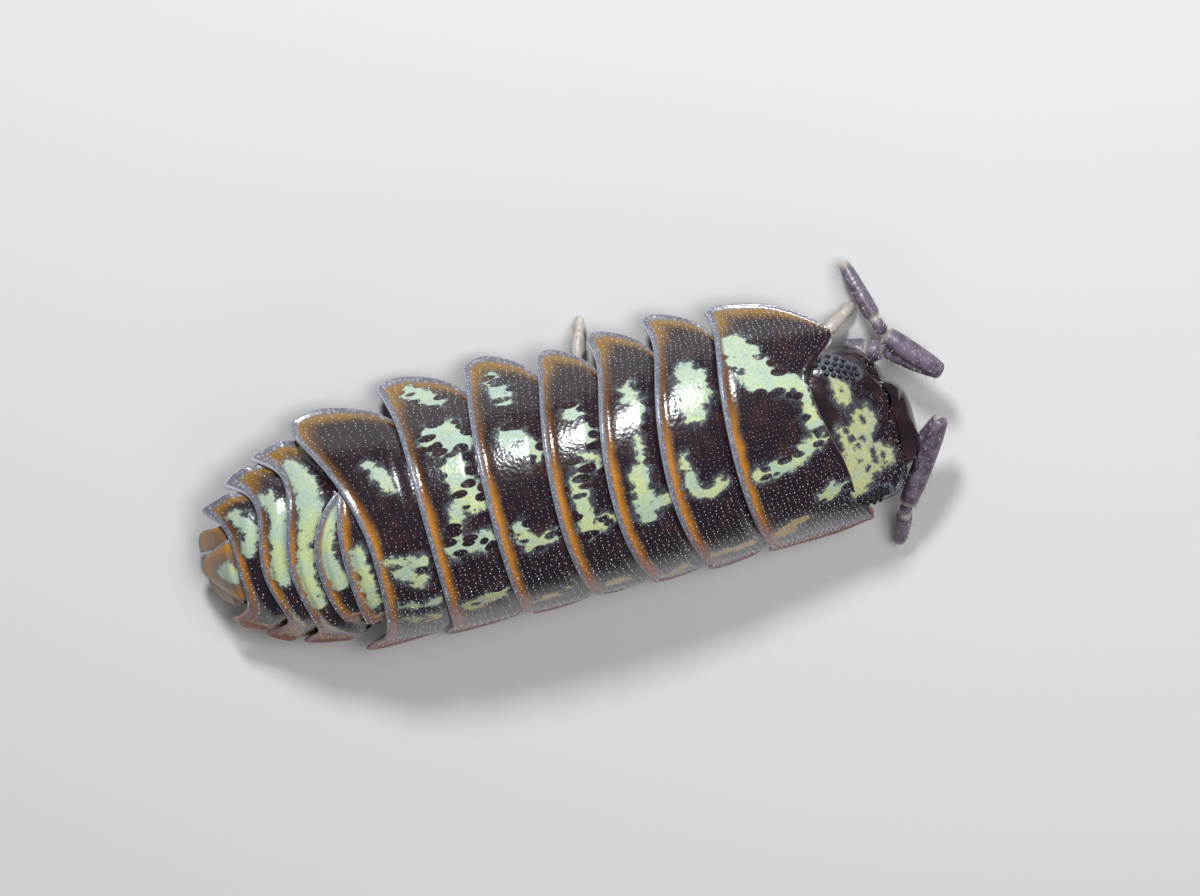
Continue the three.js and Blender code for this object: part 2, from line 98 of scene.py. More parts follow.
# Light markings: strokes from one place to another, as distance ahead of the plate's rear border,
# signed share of the arch, the same for the far end, and the half width of the stroke.
MARKS = {
    "pereonite_1": [
        (0.50, 0.70, 0.62, 0.50, 0.22), (0.60, 0.46, 1.02, 0.39, 0.15),
        (1.09, 0.36, 1.08, 0.18, 0.07), (1.08, 0.18, 1.16, 0.07, 0.09),
        (1.16, 0.07, 0.72, -0.06, 0.10), (0.72, -0.06, 0.26, -0.08, 0.09),
        (0.38, -0.60, 0.71, -0.51, 0.11), (1.05, -0.35, 1.23, -0.29, 0.10)],
    "pereonite_2": [
        (0.63, 0.59, 0.57, 0.36, 0.16), (0.78, 0.58, 0.82, 0.44, 0.07),
        (0.28, 0.13, 0.27, -0.04, 0.07), (0.27, -0.04, 0.50, -0.09, 0.08),
        (0.50, -0.09, 0.66, -0.05, 0.06), (0.41, -0.58, 0.86, -0.58, 0.08)],
    "pereonite_3": [
        (0.56, 0.60, 0.60, 0.45, 0.10), (0.53, 0.30, 0.48, 0.19, 0.05),
        (0.42, 0.13, 0.38, -0.10, 0.12), (0.45, -0.07, 0.62, -0.06, 0.09),
        (0.34, -0.77, 0.71, -0.60, 0.08)],
    "pereonite_4": [
        (0.50, 0.55, 0.60, 0.40, 0.11), (0.42, 0.31, 0.66, 0.28, 0.035),
        (0.42, 0.26, 0.62, 0.22, 0.035), (0.36, 0.19, 0.33, -0.11, 0.09),
        (0.34, -0.10, 0.59, -0.07, 0.08), (0.25, -0.61, 0.55, -0.55, 0.07)],
    "pereonite_5": [
        (0.37, 0.91, 0.50, 0.73, 0.11), (0.45, 0.51, 0.66, 0.40, 0.14),
        (0.31, 0.00, 0.42, -0.10, 0.10), (0.42, -0.10, 0.68, -0.08, 0.07),
        (0.22, -0.54, 0.65, -0.49, 0.07)],
    "pereonite_6": [
        (0.10, 1.00, 0.42, 0.88, 0.13), (0.36, 0.60, 0.66, 0.60, 0.21),
        (0.49, 0.42, 0.64, 0.22, 0.16), (0.46, 0.21, 0.29, 0.01, 0.08),
        (0.27, -0.02, 0.70, -0.01, 0.11), (0.25, -0.43, 0.65, -0.38, 0.10)],
    "pereonite_7": [
        (0.20, -0.01, 0.57, -0.05, 0.08), (0.28, -0.10, 0.50, -0.16, 0.09),
        (0.13, -0.33, 0.60, -0.35, 0.05), (0.12, -0.45, 0.58, -0.49, 0.06),
        (0.22, 0.54, 0.42, 0.40, 0.09)],
    "pleonite_1": [(0.20, 0.06, 0.22, -0.30, 0.10)],
    "pleonite_2": [(0.36, 0.38, 0.24, -0.12, 0.11)],
    "pleonite_3": [
        (0.18, 0.78, 0.40, 0.58, 0.18), (0.42, 0.56, 0.44, 0.34, 0.17),
        (0.42, 0.34, 0.32, 0.20, 0.12), (0.26, 0.12, 0.22, -0.28, 0.11),
        (0.13, -0.48, 0.26, -0.62, 0.06)],
    "pleonite_4": [
        (0.16, 0.65, 0.36, 0.50, 0.12), (0.40, 0.46, 0.26, -0.05, 0.13),
        (0.12, -0.42, 0.26, -0.60, 0.06)],
    "pleonite_5": [(0.10, 0.61, 0.30, 0.41, 0.12), (0.29, 0.36, 0.24, 0.22, 0.11)],
}
# How far each plate's markings break up into a net.
NET = {"pereonite_1": 0.35, "pereonite_4": 0.45, "pereonite_6": 0.9, "pereonite_5": 0.4}

START = {}
PITCH = []
total = 0.0
for seg_name, seg_length, seg_pitch in SEGMENTS:
    START[seg_name] = total
    PITCH.append((total + seg_length / 2, seg_pitch * RAD))
    total += seg_length
LENGTH = total
ORDER = [row[0] for row in SEGMENTS]


def table(rows, x):
    """Reads a table of [place, value] by straight lines between its rows."""
    rows = np.array(rows, float)
    return np.interp(x, rows[:, 0], rows[:, 1])


def smooth(a, b, x):
    """Eases from 0 at a to 1 at b: t squared times (3 - 2 t)."""
    t = np.clip((np.asarray(x, float) - a) / (b - a), 0, 1)
    return t * t * (3 - 2 * t)


LINE_S = np.arange(-1.2, LENGTH + 0.8, 0.01)
line_pitch = table(PITCH, LINE_S + 0.005)
LINE_X = np.concatenate([[0], np.cumsum(0.01 * np.cos(line_pitch))])[:-1]
LINE_Z = np.concatenate([[0], -np.cumsum(0.01 * np.sin(line_pitch))])[:-1]
LINE_X = LINE_X - np.interp(LENGTH / 2, LINE_S, LINE_X)
LINE_Z = LINE_Z + BACK_TOP - LINE_Z.max()

ARCH_U = np.arange(0, 1.5, 0.005)
ARCH_T = ARCH_SLOPE * np.clip(ARCH_U / ARCH_TURN, 0, 1)
ARCH_T = ARCH_T - ARCH_FLARE * smooth(ARCH_TURN + 0.02, 1, ARCH_U)
ARCH_Y = np.concatenate([[0], np.cumsum(0.005 * ARCH_LENGTH * np.cos(ARCH_T))])[:-1]
ARCH_H = np.concatenate([[0], np.cumsum(0.005 * ARCH_LENGTH * np.sin(ARCH_T))])[:-1]


def back(s):
    """Middle line of the back at distance s from the tail: place x, z and the upright nx, nz."""
    p = table(PITCH, s)
    lean = np.where(p < 0, 0.5 * p, p)
    x = np.interp(s, LINE_S, LINE_X)
    z = np.interp(s, LINE_S, LINE_Z)
    return x, z, np.sin(lean), np.cos(lean)


def turned(x, y, z):
    """The head end turns a little to the right, by the square of the distance past a point."""
    y = y - TURN_RATE * np.maximum(0, x - TURN_FROM) ** 2
    return np.stack([x, y, z], -1)


def shell(s, w, off, m=None):
    """Point of the back: s along it, w across the arch, off above the surface, in millimetres.

    The arch is hung from the middle line, as wide as the table says at m, and as high as it
    needs to be for its side edge to stand at EDGE_HEIGHT."""
    s = np.asarray(s, float)
    m = s if m is None else m
    x, z, nx, nz = back(s)
    u = np.abs(w)
    y = np.interp(u, ARCH_U, ARCH_Y)
    h = np.interp(u, ARCH_U, ARCH_H)
    a = np.interp(u, ARCH_U, ARCH_T)
    high = np.maximum(0.14, (z - EDGE_HEIGHT) / ARCH_HEIGHT)
    across = np.sign(w) * (table(WIDE, m) * y + off * np.sin(a))
    down = high * h - off * np.cos(a)
    return turned(x - down * nx, across, z - down * nz)


# Meshes.
def grid_faces(rows, columns, wrap=False):
    """Four-sided faces of a grid of points, row by row; wrap joins the last column to the first."""
    i = np.arange(rows - 1)[:, None]
    j = np.arange(columns if wrap else columns - 1)[None, :]
    a = i * columns + j
    b = i * columns + (j + 1) % columns
    return np.stack([a, a + columns, b + columns, b], -1).reshape(-1, 4)


def build(name, slot, points, faces, values=None, uv=None, replaces=(), smooth_shade=True):
    """Makes one mesh object from arrays in millimetres and hands it to the frame.

    points is n by 3, faces a list of index arrays, values named numbers per point, uv n by 2."""
    name = name.replace(" ", "_")
    points = (np.asarray(points, float).reshape(-1, 3) + CENTRE) * MM
    mesh = bpy.data.meshes.new(name)
    lists = [np.asarray(f, int) for f in faces if len(f)]
    counts = np.concatenate([np.full(len(f), f.shape[1]) for f in lists])
    loops = np.concatenate([f.ravel() for f in lists])
    mesh.vertices.add(len(points))
    mesh.vertices.foreach_set("co", points.astype(np.float32).ravel())
    mesh.loops.add(len(loops))
    mesh.loops.foreach_set("vertex_index", loops.astype(np.int32))
    mesh.polygons.add(len(counts))
    starts = np.concatenate([[0], np.cumsum(counts)[:-1]])
    mesh.polygons.foreach_set("loop_start", starts.astype(np.int32))
    mesh.polygons.foreach_set("use_smooth", np.full(len(counts), smooth_shade))
    for key, data in (values or {}).items():
        layer = mesh.attributes.new(key, "FLOAT", "POINT")
        layer.data.foreach_set("value", np.asarray(data, np.float32).ravel())
    if uv is not None:
        layer = mesh.uv_layers.new(name="OFBake")
        layer.data.foreach_set("uv", np.asarray(uv, np.float32)[loops].ravel())
    mesh.update()
    mesh.validate()
    obj = bpy.data.objects.new(name, mesh)
    bpy.context.scene.collection.objects.link(obj)
    mesh.materials.append(MATERIAL[slot])
    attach(obj, "root")
    if replaces:
        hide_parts(*replaces)
    return obj


MATERIAL = {}


class Nodes:
    """Short hand for building a material's nodes and joining them."""

    def __init__(self, name):
        """Starts a material with its own node tree."""
        self.mat = bpy.data.materials.new(name)
        self.mat.use_nodes = True
        self.tree = self.mat.node_tree
        self.bsdf = self.tree.nodes["Principled BSDF"]

    def put(self, value, socket):
        """Joins a node's output to a socket, or sets the socket to a constant."""
        if hasattr(value, "is_output"):
            self.tree.links.new(value, socket)
        else:
            socket.default_value = value

    def attribute(self, name):
        """Reads one of the mesh's own named numbers."""
        node = self.tree.nodes.new("ShaderNodeAttribute")
        node.attribute_name = name
        return node.outputs["Fac"]

    def math(self, kind, a, b=0.0, clamp=False):
        """Works out one sum of two values."""
        node = self.tree.nodes.new("ShaderNodeMath")
        node.operation = kind
        node.use_clamp = clamp
        self.put(a, node.inputs[0])
        self.put(b, node.inputs[1])
        return node.outputs[0]

    def ramp(self, value, low, high, a=0.0, b=1.0):
        """Eases from a at low to b at high."""
        node = self.tree.nodes.new("ShaderNodeMapRange")
        node.interpolation_type = "SMOOTHSTEP"
        self.put(value, node.inputs["Value"])
        node.inputs["From Min"].default_value = low
        node.inputs["From Max"].default_value = high
        node.inputs["To Min"].default_value = a
        node.inputs["To Max"].default_value = b
        return node.outputs["Result"]

    def mix(self, share, a, b):
        """Mixes two colours: a where share is 0 and b where it is 1."""
        node = self.tree.nodes.new("ShaderNodeMix")
        node.data_type = "RGBA"
        self.put(share, node.inputs[0])
        self.put(a if hasattr(a, "is_output") else (*a, 1), node.inputs[6])
        self.put(b if hasattr(b, "is_output") else (*b, 1), node.inputs[7])
        return node.outputs[2]

    def place(self, stretch=(1, 1, 1)):
        """Object coordinates in millimetres, stretched along each axis."""
        if not hasattr(self, "coords"):
            self.coords = self.tree.nodes.new("ShaderNodeTexCoord").outputs["Object"]
        node = self.tree.nodes.new("ShaderNodeMapping")
        self.put(self.coords, node.inputs["Vector"])
        node.inputs["Scale"].default_value = tuple(1000.0 * k for k in stretch)
        return node.outputs["Vector"]

    def noise(self, per_mm, detail=2.0, rough=0.5):
        """Soft cloudy noise with so many waves per millimetre."""
        node = self.tree.nodes.new("ShaderNodeTexNoise")
        self.put(self.place(), node.inputs["Vector"])
        node.inputs["Scale"].default_value = per_mm
        node.inputs["Detail"].default_value = detail
        node.inputs["Roughness"].default_value = rough
        return node.outputs["Fac"]

    def cells(self, per_mm, stretch=(1, 1, 1)):
        """Distance to the nearest of scattered points."""
        node = self.tree.nodes.new("ShaderNodeTexVoronoi")
        self.put(self.place(stretch), node.inputs["Vector"])
        node.inputs["Scale"].default_value = per_mm
        return node.outputs["Distance"]

    def bump(self, height, microns, strength=1.0, under=None):
        """Relief of so many microns over another relief."""
        node = self.tree.nodes.new("ShaderNodeBump")
        node.inputs["Strength"].default_value = strength
        node.inputs["Distance"].default_value = microns * 1e-6
        self.put(height, node.inputs["Height"])
        if under is not None:
            self.put(under, node.inputs["Normal"])
        return node.outputs["Normal"]

    def finish(self, colour, rough, coat=0.0, coat_rough=0.1, normal=None, spec=0.5):
        """Sets the finish's colour, roughness, clear coat and relief."""
        self.put(colour if hasattr(colour, "is_output") else (*colour, 1),
                 self.bsdf.inputs["Base Color"])
        self.put(rough, self.bsdf.inputs["Roughness"])
        self.bsdf.inputs["Coat Weight"].default_value = coat
        self.bsdf.inputs["Coat Roughness"].default_value = coat_rough
        self.bsdf.inputs["Specular IOR Level"].default_value = spec
        if normal is not None:
            self.put(normal, self.bsdf.inputs["Normal"])
            self.put(normal, self.bsdf.inputs["Coat Normal"])
        return self.mat


DARK = (0.012, 0.006, 0.009)
BROWN = (0.030, 0.012, 0.012)
MIST = (0.075, 0.085, 0.095)
ORANGE = (0.34, 0.135, 0.010)
# Painted shade: the red-brown that the orange band turns to on the right, shaded side.
SHADE_RED = (0.16, 0.030, 0.008)
TAN = (0.19, 0.098, 0.050)
PALE = (0.38, 0.43, 0.21)
PALE_COOL = (0.30, 0.38, 0.28)
# Painted shade: the yellow-brown that the pale marks turn to on the right, shaded side.
SHADE_YELLOW = (0.30, 0.20, 0.05)


def shell_material(name):
    """Shell: dark ground, orange band inside a lilac rim, and pale marks with ragged edges; the band, rim
    and marks carry painted shade on the right side and painted light on the left.
    """
    n = Nodes(name)
    edge = n.attribute("edge")
    mark = n.attribute("mark")
    net = n.attribute("net")
    lobe = n.attribute("lobe")
    side = n.attribute("side")
    amber = n.attribute("amber")
    ground = n.mix(n.ramp(n.noise(5.0, 3.0), 0.45, 0.75), DARK, BROWN)
    ground = n.mix(n.ramp(amber, 1.1, 1.4), ground, TAN)
    wobble = n.math("MULTIPLY", n.math("SUBTRACT", n.noise(6.0, 3.0), 0.5), 0.09)
    place = n.math("ADD", edge, wobble)
    band = n.math("MULTIPLY", n.ramp(place, 0.035, 0.075), n.ramp(place, 0.09, 0.21, 1, 0))
    # Painted shade: the orange band turns red-brown on the right, shaded side.
    warm = n.mix(n.ramp(side, 0.25, 0.60), ORANGE, SHADE_RED)
    # The orange band is the shell's own colour; on the plates the amber value paints it faint on the lit
    # left side and full on the shaded right: painted light and shade.
    colour = n.mix(n.math("MULTIPLY", band, amber, True), ground, warm)
    reach = n.math("ADD", lobe, n.math("MULTIPLY", wobble, 1.6))
    near = n.math("ADD", edge, n.math("MULTIPLY", wobble, 1.5))
    blush = n.math("MULTIPLY", n.ramp(reach, 0.66, 0.90), n.ramp(near, 0.30, 0.05))
    colour = n.mix(n.math("MULTIPLY", blush, 0.75), colour, (0.25, 0.135, 0.025))
    ragged = n.math("MULTIPLY", n.math("SUBTRACT", n.noise(8.0, 5.0, 0.72), 0.5), 0.32)
    holes = n.math("MULTIPLY", n.ramp(n.cells(6.5, (0.6, 1.25, 1.25)), 0.52, 0.34), net)
    grown = n.math("ADD", n.math("ADD", mark, ragged), 0.012)
    field = n.math("SUBTRACT", grown, n.math("MULTIPLY", holes, 0.30))
    colour = n.mix(n.math("MULTIPLY", n.ramp(field, -0.10, 0.0), 0.55), colour, MIST)
    pale = n.mix(n.ramp(n.noise(4.0, 2.0), 0.40, 0.62), PALE, PALE_COOL)
    # Painted light: the pale marks turn cooler and bluer on the left side, where the light falls.
    pale = n.mix(n.ramp(side, -0.20, -0.55, 0.0, 0.55), pale, (0.33, 0.41, 0.37))
    # Painted shade: the pale marks turn yellow-brown on the right, shaded side.
    pale = n.mix(n.ramp(side, 0.32, 0.55, 0.0, 0.95), pale, SHADE_YELLOW)
    pale = n.mix(n.ramp(n.noise(38.0, 2.0), 0.50, 0.66, 0.0, 0.35), pale, (0.16, 0.19, 0.12))
    inside = n.math("MULTIPLY", n.ramp(field, -0.015, 0.035), n.ramp(edge, 0.07, 0.13))
    colour = n.mix(inside, colour, pale)
    rim_place = n.math("ADD", edge, n.math("MULTIPLY", wobble, 0.35))
    rim = n.ramp(rim_place, 0.045, 0.095, 1, 0)
    beads = n.ramp(n.cells(26.0), 0.20, 0.45)
    rim_colour = n.mix(beads, (0.25, 0.265, 0.31), (0.115, 0.12, 0.15))
    rim_colour = n.mix(n.ramp(edge, 0.022, 0.010), rim_colour, (0.40, 0.41, 0.45))
    # Painted shade: the rim turns red-brown on the right, shaded side.
    rim_colour = n.mix(n.ramp(side, 0.20, 0.60, 0.0, 0.75), rim_colour, (0.20, 0.075, 0.055))
    colour = n.mix(n.math("MULTIPLY", rim, 0.92), colour, rim_colour)
    colour = n.mix(n.attribute("lattice"), colour, (0.075, 0.085, 0.105))
    normal = n.bump(n.noise(30.0, 2.0), 4.0, 0.5)
    normal = n.bump(n.cells(22.0), 4.0, 0.6, normal)
    n.finish(colour, n.ramp(rim, 0, 1, 0.24, 0.40), coat=0.5, coat_rough=0.12, normal=normal)
    n.bsdf.inputs["Subsurface Radius"].default_value = (1.0, 0.7, 0.5)
    n.bsdf.inputs["Subsurface Scale"].default_value = 0.00006
    n.put(n.math("MULTIPLY", rim, 0.35), n.bsdf.inputs["Subsurface Weight"])
    return n.mat


def plain_material(name, colour, other, scale, rough, coat=0.0, bump=4.0, grain=22.0):
    """A finish of two colours mixed by a soft noise, with a fine grain in relief."""
    n = Nodes(name)
    c = n.mix(n.ramp(n.noise(scale, 3.0), 0.38, 0.66), colour, other)
    normal = n.bump(n.cells(grain), bump, 0.6)
    return n.finish(c, rough, coat=coat, coat_rough=0.2, normal=normal)


def limb_material():
    """Feelers and legs: purple grey, paler at each joint and at the tips, finely grained."""
    n = Nodes("limb purple grey")
    joint = n.attribute("joint")
    c = n.mix(n.ramp(n.noise(7.0, 3.0), 0.35, 0.65), (0.055, 0.038, 0.055), (0.115, 0.090, 0.12))
    c = n.mix(joint, c, (0.50, 0.45, 0.38))
    spots = n.ramp(n.cells(24.0), 0.30, 0.18)
    c = n.mix(n.math("MULTIPLY", spots, 0.35), c, (0.42, 0.40, 0.46))
    normal = n.bump(n.cells(24.0), 5.0, 0.7)
    return n.finish(c, 0.42, coat=0.15, coat_rough=0.25, normal=normal)


MATERIAL["shell"] = shell_material("patterned shell")
MATERIAL["tail"] = shell_material("patterned tail shell")
MATERIAL["head"] = shell_material("head shell")
MATERIAL["eye"] = plain_material("black eye", (0.006, 0.006, 0.008), (0.010, 0.009, 0.011),
                                 5, 0.16, 0.5, 0.3)
MATERIAL["limb"] = limb_material()
MATERIAL["underside"] = plain_material("pale underside", (0.22, 0.185, 0.165),
                                       (0.30, 0.255, 0.22), 3, 0.45)
MATERIAL["gill"] = plain_material("gill plate", (0.38, 0.34, 0.29), (0.31, 0.27, 0.23), 3, 0.35, 0.2)
MATERIAL["mouth"] = plain_material("brown mouthparts", (0.115, 0.070, 0.060),
                                   (0.26, 0.19, 0.15), 6, 0.38, 0.2)
MATERIAL["speck"] = plain_material("white scale", (0.40, 0.42, 0.50), (0.52, 0.54, 0.62), 9, 0.30, 0.0, 0.5)


# Shell plates.
def ahead(name):
    """Name of the next segment towards the head."""
    return ORDER[ORDER.index(name) + 1]


def rear_line(name, w):
    """Rear border of a plate: a w^2 + b w^6 on the trunk, a w^2 + b w^3 on the tail."""
    a, b = PLATES[name][3]
    u = np.abs(w)
    if name in RIGHT_BEND:
        a = np.where(w < 0, RIGHT_BEND[name][0], a)
        b = np.where(w < 0, RIGHT_BEND[name][1], b)
    return START[name] + a * u ** 2 + b * u ** (6 if name.startswith("pereonite") else 3)


def front_line(name, w):
    """Border that a plate's front runs under, or its own front border on the first plate."""
    if name == "pereonite_1":
        return table(FIRST_FRONT, w)
    line = rear_line(ahead(name), w)
    if name in ("pleonite_1", "pleonite_2", "pleonite_3"):
        line = np.minimum(line, rear_line("pereonite_7", w))
    return line


def corner(x):
    """Quarter circle: 0 at 0 and 1 at 1, steepest at 1."""
    x = np.clip(x, 0, 1)
    return 1 - np.sqrt(1 - x * x)


def stroke_field(d, w, strokes, width):
    """Height of the light marks: half width less the distance to the nearest stroke, in mm."""
    best = np.full(np.shape(d), -9.0)
    q = w * width
    for d1, w1, d2, w2, r in strokes:
        ax, ay, bx, by = d1, w1 * width, d2, w2 * width
        t = ((d - ax) * (bx - ax) + (q - ay) * (by - ay)) / ((bx - ax) ** 2 + (by - ay) ** 2)
        t = np.clip(t, 0, 1)
        gap = np.hypot(d - ax - t * (bx - ax), q - ay - t * (by - ay))
        best = np.maximum(best, r - gap)
    return best


def plate_point(name, t, j):
    """Where a plate's point lies: t from -1 to 1 across it, j from 0 at the rear to 1 in front.

    Returns s, w, m, outer offset, distance to the free edge, distance behind the front line, and
    the distance that the coloured bands follow."""
    rear_off, reach, (r0, r1), _ = PLATES[name]
    first = name == "pereonite_1"
    if first or not name.startswith("pereonite"):
        taper = corner((j - 0.45) / 0.55)
    else:
        taper = np.clip((j - 0.12) / 0.80, 0, 1.1) ** 2.0
    lobe = reach - r0 * corner(1 - j / 0.33) - r1 * taper
    w = lobe * t
    rear = rear_line(name, w)
    front = np.maximum(front_line(name, w), rear + 0.02)
    s = rear + (front + (0 if first else TUCK) - rear) * j
    m = START[name] + (START[ahead(name)] + (0 if first else TUCK) - START[name]) * j
    size = table(WIDE, m)
    dw = 0.01
    lean = (rear_line(name, w * (1 + dw / (np.abs(w) + 1e-6))) - rear) / (dw * ARCH_LENGTH * size)
    d_rear = (s - rear) / np.sqrt(1 + lean ** 2)
    d_tip = (lobe - np.abs(w)) * ARCH_LENGTH * size
    d_front = (front - s) if first else np.full(np.shape(s), 9.0)
    free = np.minimum(np.minimum(d_rear, d_tip), d_front)
    border = np.where(d_front < 0.02, 0.0, np.minimum(d_rear, d_tip))
    low = 0 if first else PLATES[ahead(name)][0] - STEP_DOWN
    rise = np.ones(np.shape(s)) if first else smooth(-0.02, 0.20, front - s)
    outer = low + (rear_off - low) * rise
    outer = outer + 0.010 * np.exp(-((free - 0.035) / 0.03) ** 2)
    outer = outer - 0.012 * np.exp(-((free - 0.12) / 0.05) ** 2)
    return s, w, m, outer, free, front - s, border


def tergite(name):
    """One plate: an outer and an inner face that meet in a rounded edge all round."""
    na = 181 if name[:9] == "pereonite" else 141
    nb = 40
    t = np.linspace(-1, 1, na)
    t = np.sign(t) * (1 - (1 - np.abs(t)) ** 1.25)
    k = np.linspace(0, 1, nb)
    j = 0.35 * k ** 2 + 0.65 * k
    tt, jj = np.meshgrid(t, np.concatenate([j[::-1], j[1:]]), indexing="ij")
    s, w, m, outer, free, _, border = plate_point(name, tt, jj)
    thick = 0.012 + 0.075 * smooth(0, 0.25, free)
    edge = np.minimum(free, 1 - jj)
    round_off = np.sqrt(np.clip(1 - (1 - np.clip(edge / 0.03, 0, 1)) ** 2, 0, 1))
    under = np.arange(2 * nb - 1)[None, :] >= nb
    full = 0.045 + thick - 0.012
    off = outer - np.where(under, 0.5 * (1 + round_off) * full, 0.5 * (1 - round_off) * full)
    points = shell(s, w, off, m)
    field = stroke_field(s - rear_line(name, w), w, marks_here(name), ARCH_LENGTH)
    lobe = np.abs(w) / PLATES[name][1]
    wide = 1 + 0.55 * smooth(0.72, 0.95, lobe)
    values = {
        "edge": np.where(under, 0.2, border / wide),
        "mark": np.where(under, -1, field),
        "net": np.full(s.shape, NET.get(name, 0.15)),
        "lobe": np.where(under, 0, lobe),
        # amber: full over the middle and the shaded right side, a quarter on the lit left side, as painted
        # light and shade on the orange band.
        "amber": 0.25 + 0.75 * smooth(0.45, 0.10, w),
        # side: how far to the right; it drives the painted shade of the right side and the painted light of
        # the left side.
        "side": -w,
    }
    faces = grid_faces(na, 2 * nb - 1)
    build(name + " shell", "shell" if name[:9] == "pereonite" else "tail", points,
          [faces[:, ::-1]], values, replaces=[name])


def marks_here(name):
    """Marks of a plate, with the distance counted from the rear border where the stroke ends."""
    rows = []
    for d1, w1, d2, w2, r in MARKS.get(name, []):
        b1 = rear_line(name, w1) - START[name]
        b2 = rear_line(name, w2) - START[name]
        rows.append((d1 - b1, w1, d2 - b2, w2, r))
    return rows


for plate_name in PLATES:
    tergite(plate_name)


def slab(name, node, slot, na, nb, f, thick, edge_round=0.03, values=None):
    """A thin plate: f(a, b, off) gives its point for a and b from 0 to 1; its edges are round."""
    a = np.linspace(0, 1, na)
    b = np.linspace(0, 1, nb)
    aa, bb = np.meshgrid(a, np.concatenate([b, b[::-1][1:]]), indexing="ij")
    edge = np.minimum(np.minimum(aa, 1 - aa), np.minimum(bb, 1 - bb))
    r = np.sqrt(np.clip(1 - (1 - np.clip(edge / edge_round, 0, 1)) ** 2, 0, 1))
    under = np.arange(2 * nb - 1)[None, :] >= nb
    off = -np.where(under, 0.5 * (1 + r), 0.5 * (1 - r)) * thick
    points = f(aa, bb, off)
    v = {"edge": 0.4 + 0 * aa, "mark": -1 + 0 * aa, "net": 0 * aa, "lobe": 0 * aa,
         "side": 0 * aa, "joint": 0 * aa, "amber": 0 * aa}
    v.update(values(aa, bb) if values else {})
    v["mark"] = np.where(under, -1, v["mark"])
    v["edge"] = np.where(under, 0.4, v["edge"])
    faces = grid_faces(na, 2 * nb - 1)
    middle = points[na // 2, nb // 3]
    normal = np.cross(points[na // 2 + 1, nb // 3] - middle, points[na // 2, nb // 3 + 1] - middle)
    half, third = np.array(0.5), np.array(0.33)
    outward = f(half, third, np.array(0.05)) - f(half, third, np.array(0.0))
    if np.dot(normal, outward) > 0:
        faces = faces[:, ::-1]
    return build(name, slot, points, [faces], v, replaces=node)


def telson_point(a, b, off):
    """Telson: narrows from its base to a rounded tip, lying on the line of the back."""
    t = 2 * a - 1
    half = 0.20 + 0.30 * b ** 0.8
    w = t * half
    s = 0.00 + 0.16 * t * t * (1 - b) + (START["pleonite_5"] + 0.10) * b
    drop = -0.08 * smooth(0.15, -0.02, START["pleonite_5"] - s)
    return shell(s, w, drop + off + 0.03 * (1 - t * t))


def telson_values(a, b):
    """Orange-brown telson with a pale rim round its tip and a light patch towards its base."""
    free = np.minimum(np.minimum(a, 1 - a) * 0.9, b * 0.7)
    patch = 0.12 - np.hypot((a - 0.5) * 0.9, (b - 0.66) * 0.6)
    return {"edge": free, "mark": patch, "lobe": 1.0 + 0 * a, "amber": 1.5 + 0 * a}


slab("telson shell", ["telson"], "tail", 81, 61, telson_point, 0.08, 0.05, telson_values)

def uropod(sign, side_name):
    """One uropod: a flat rounded plate, orange-brown with a pale free edge."""
    def uropod_point(a, b, off):
        """Fills the gap beside the telson: its width and its rear edge follow a and b."""
        w = sign * (0.18 + 0.20 * b + (0.44 - 0.02 * b) * a)
        s = -0.03 + 0.20 * a ** 3 * (1 - b) + 0.60 * b
        return shell(s, w, -0.07 + off, 0.43 + 0 * a)

    def uropod_values(a, b):
        """Orange-brown with a pale free edge."""
        free = np.minimum(b * 0.6, (1 - a) * 0.8)
        return {"edge": free, "lobe": 1.0 + 0 * a, "amber": 1.5 + 0 * a}

    slab(f"uropod {side_name} shell", [f"uropod_{side_name}"], "tail", 41, 31, uropod_point,
         0.08, 0.06, uropod_values)


uropod(1, "left")
uropod(-1, "right")


# Head.
HEAD_TILT = 27 * RAD
HEAD_HALF = (0.50, 1.00, 0.43)
HEAD_BACK = 0.86
HEAD_MIDDLE = 0.55
HEAD_SINK = 0.47
hx, hz, _, _ = back(START["head"] + HEAD_MIDDLE)
HEAD_C = (float(hx) - HEAD_SINK * math.sin(HEAD_TILT),
          float(hz) - HEAD_SINK * math.cos(HEAD_TILT))
EYE = (-0.215, 0.858)
# Light marks of the head: x and y from its middle, the far end's x and y, half width.
HEAD_MARKS = [
    (-0.285, 0.73, -0.27, 0.66, 0.06), (-0.27, 0.66, -0.27, 0.50, 0.09),
    (-0.09, 0.22, -0.245, -0.04, 0.13), (-0.245, -0.04, -0.36, -0.56, 0.17),
    (-0.215, -0.18, 0.05, -0.30, 0.12), (-0.39, 0.08, -0.35, -0.19, 0.08),
    (-0.36, -0.52, -0.37, -0.74, 0.10), (0.00, -0.32, -0.12, -0.42, 0.09),
]
HEAD_HOLES = [
    (-0.13, 0.20, 0.045), (-0.18, -0.04, 0.05), (-0.268, -0.133, 0.045), (-0.10, -0.24, 0.06),
    (0.015, -0.296, 0.04), (-0.21, -0.449, 0.05), (-0.295, -0.313, 0.035), (-0.36, 0.10, 0.04),
    (-0.33, -0.02, 0.04), (-0.09, -0.35, 0.035), (-0.28, 0.60, 0.03),
]


def power(v, e):
    """Power of the size of v, keeping its sign."""
    return np.sign(v) * np.abs(v) ** e


def head_flat(turn, rise):
    """Place on the head seen from straight above it: x forwards and y to the left."""
    x = power(np.cos(turn), 0.80) * power(np.cos(rise), 0.72)
    return np.where(x < 0, HEAD_BACK, HEAD_HALF[0]) * x, HEAD_HALF[1] * power(np.sin(rise), 0.80)


